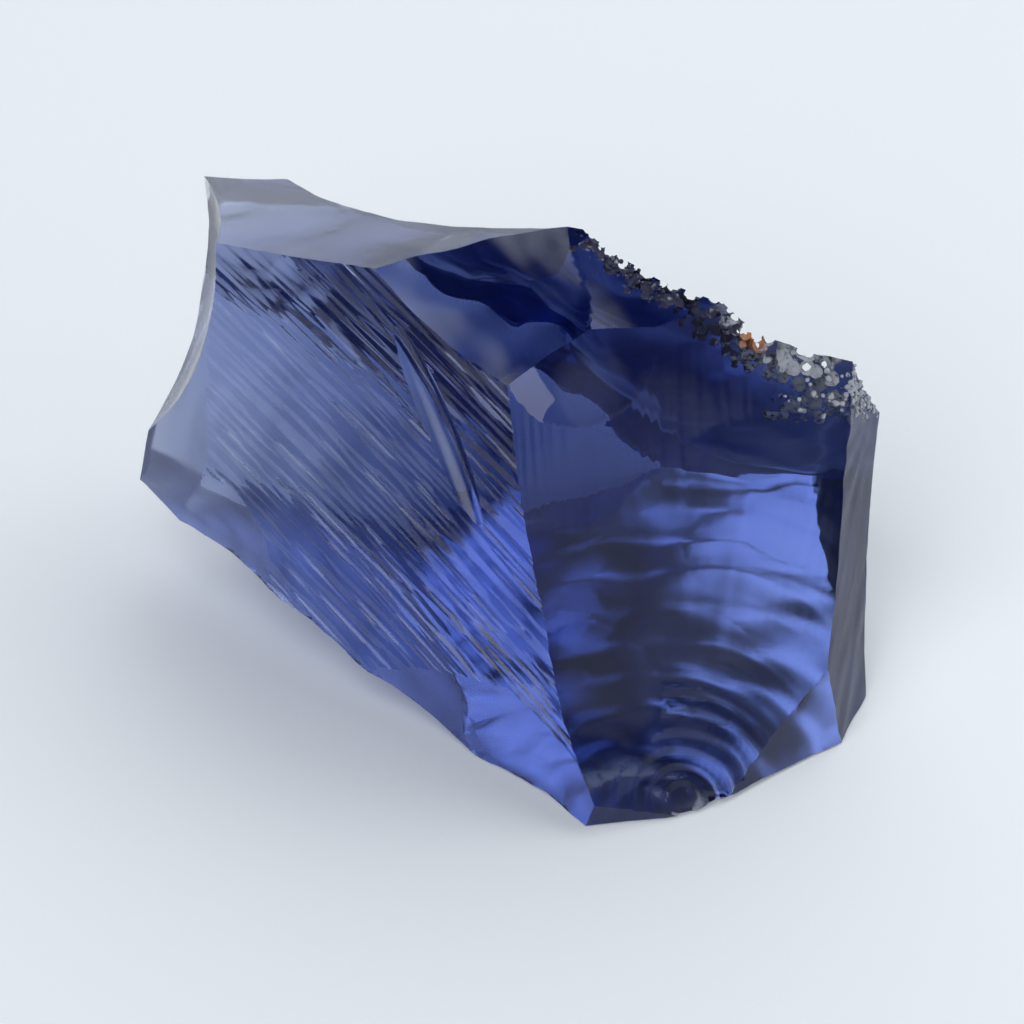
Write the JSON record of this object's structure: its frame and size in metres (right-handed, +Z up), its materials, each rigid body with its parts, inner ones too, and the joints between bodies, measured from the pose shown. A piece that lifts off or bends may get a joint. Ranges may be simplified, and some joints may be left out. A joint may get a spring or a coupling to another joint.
{
  "type": "rough crystal fragment",
  "caption": "Broken fragment of clear blue-violet crystal with curved shell-like fractures, a front ridge, a rippled hollow and a crumbly crest, resting on a flat facet.",
  "frame": {"origin": "a point in the flat facet that the fragment rests on, under its middle", "axes": "+Z up from the resting facet, +X along the longest side, the ridged front faces -Y"},
  "size_m": [0.0327, 0.0261, 0.0186],
  "materials": {
    "crystal": "clear, fresh broken surfaces with a vitreous lustre"
  },
  "bodies": {
    "root": {"crystal": "crystal"}
  },
  "joints": []
}
